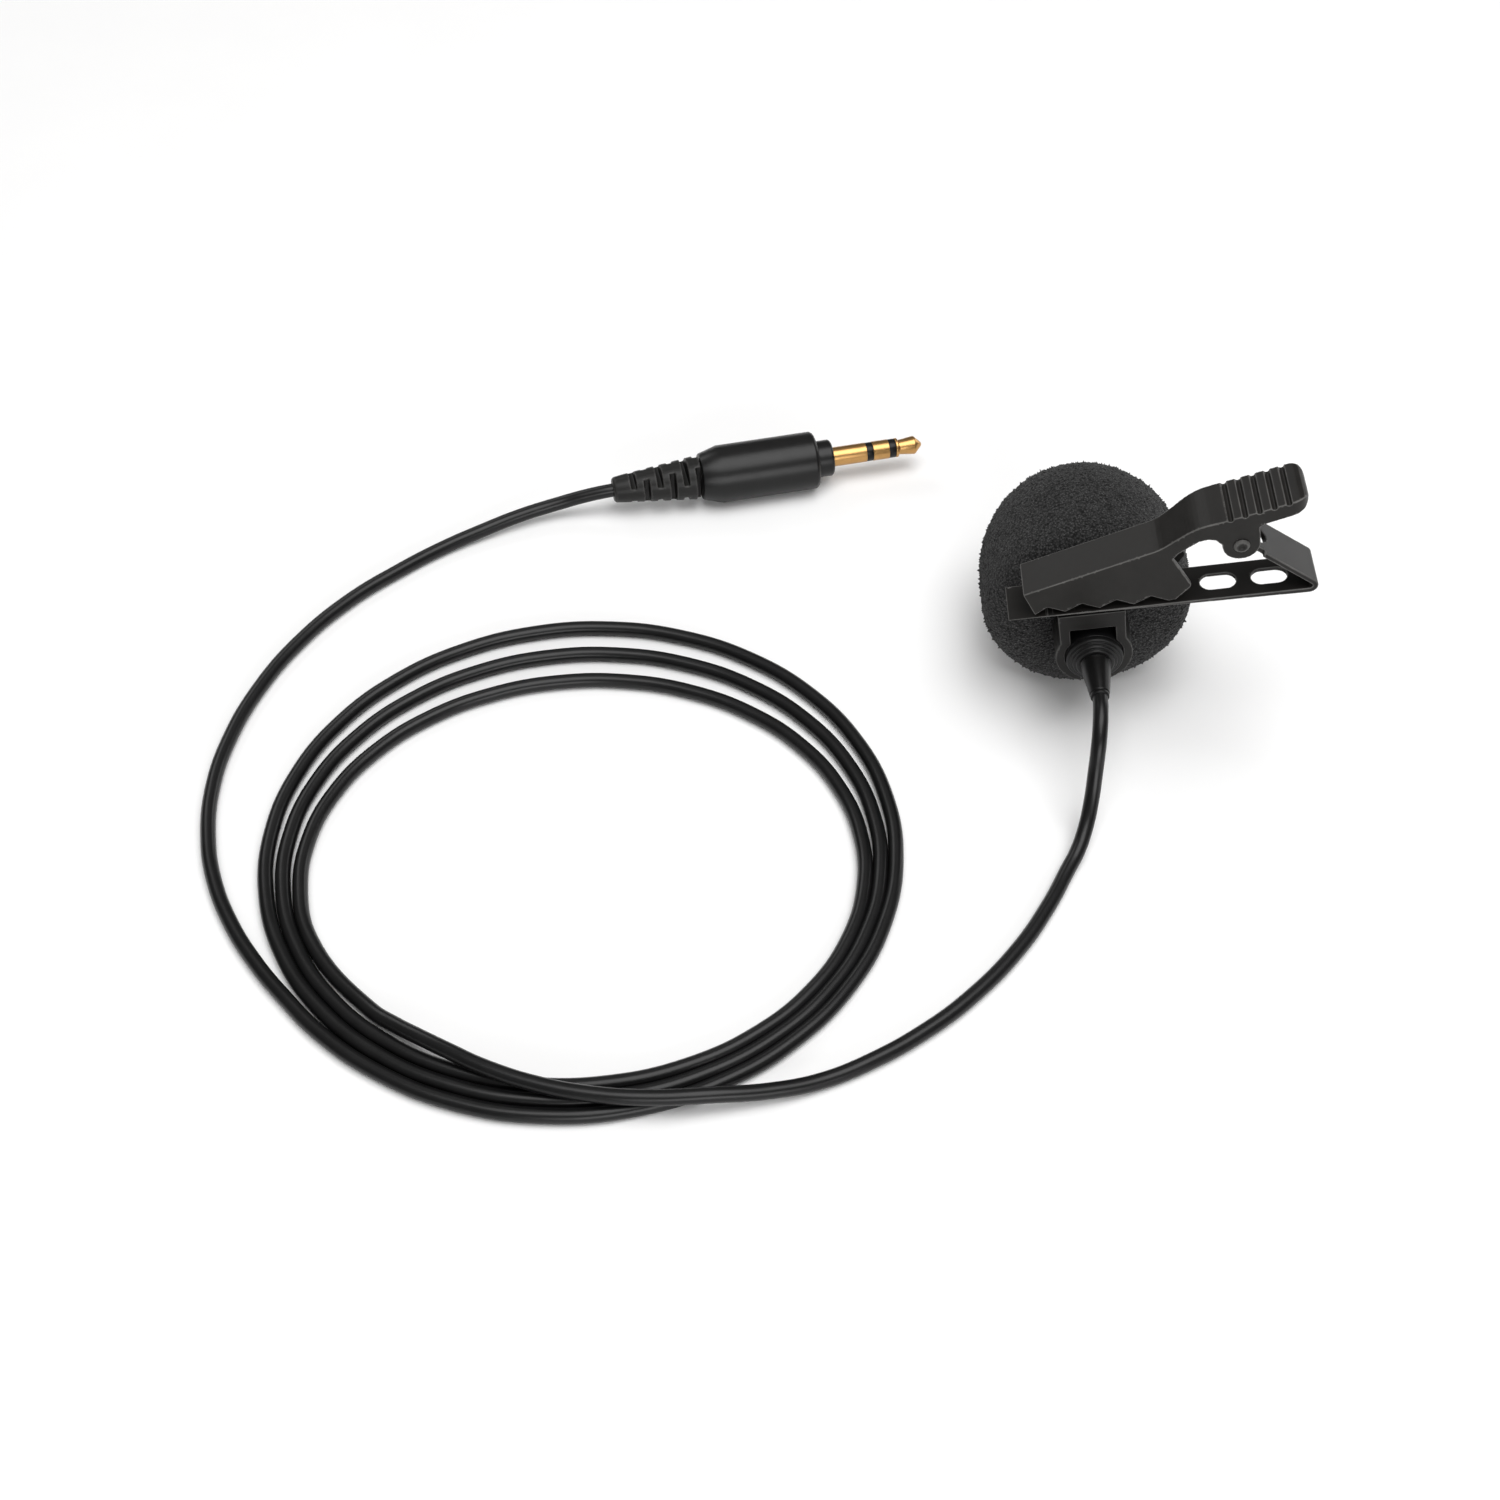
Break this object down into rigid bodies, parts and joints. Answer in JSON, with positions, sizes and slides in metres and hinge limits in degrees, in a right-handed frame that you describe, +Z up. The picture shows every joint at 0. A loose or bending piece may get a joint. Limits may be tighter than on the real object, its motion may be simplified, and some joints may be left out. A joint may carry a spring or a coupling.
{
  "type": "lavalier microphone",
  "caption": "Clip-on lavalier microphone with a foam windscreen, a sprung jaw clip, a coiled cord and a 3.5 mm plug.",
  "frame": {"origin": "under the middle of the microphone head (capsule, windscreen and clip), on the surface it lies on", "axes": "+Y along the capsule's axis, from the strain relief to the windscreen's nose; +Z up; +X towards the clip's handle"},
  "size_m": [0.1759, 0.1428, 0.0515],
  "materials": {
    "foam": "open-cell foam, matte",
    "black_metal": "satin black",
    "mesh": "fine woven mesh",
    "element": "satin",
    "rubber_seat": "matte",
    "board": "solder mask",
    "crimp": "satin",
    "copper": "bundled cores",
    "collar": "satin",
    "relief": "glossy moulded",
    "holder": "fine texture",
    "clip_metal": "semi-matte black coating",
    "spring_steel": "drawn wire",
    "cord": "satin jacket",
    "plug_boot": "matte moulded",
    "plug_body": "satin",
    "gold": "gold plated, polished",
    "insulator": "glossy"
  },
  "bodies": {
    "microphone": {"capsule_grille": "black_metal", "acoustic_mesh": "mesh", "electret_capsule": "element", "capsule_seat": "rubber_seat", "capsule_board": "board", "capsule_barrel": "black_metal", "cord_crimp": "crimp", "cord_core": "copper", "rear_collar": "collar", "strain_relief": "relief", "cord_from_mic": "cord", "cord_coil": "cord", "cord_to_plug": "cord", "plug_boot": "plug_boot", "plug_body": "plug_body", "plug_collar": "plug_body", "plug_crimp": "crimp", "plug_sleeve": "gold", "plug_insulator_rear": "insulator", "plug_ring": "gold", "plug_insulator_front": "insulator", "plug_tip": "gold"},
    "windscreen": {"foam_windscreen": "foam"},
    "clip": {"clip_holder": "holder", "holder_rivet_left": "clip_metal", "holder_rivet_right": "clip_metal", "clip_plate": "clip_metal", "pivot_pin": "clip_metal", "torsion_spring": "spring_steel"},
    "lever": {"clip_lever": "clip_metal"}
  },
  "joints": [
    {"name": "clip_swivel", "type": "hinge", "parent": "microphone", "child": "clip", "pos_m": [-0.00791, -0.0104, 0.017], "axis": [0, 1, 0], "range_deg": [-90, 50]},
    {"name": "lever_pivot", "type": "hinge", "parent": "clip", "child": "lever", "pos_m": [0.01143, -0.0104, 0.04215], "axis": [0, 1, 0], "range_deg": [0, 35], "stiffness_Nm_per_rad": 0.015, "springref_deg": -103.13, "deforming": ["torsion_spring"]},
    {"name": "windscreen_slide", "type": "slide", "parent": "microphone", "child": "windscreen", "axis": [0, 1, 0], "range_m": [0, 0.032]}
  ]
}
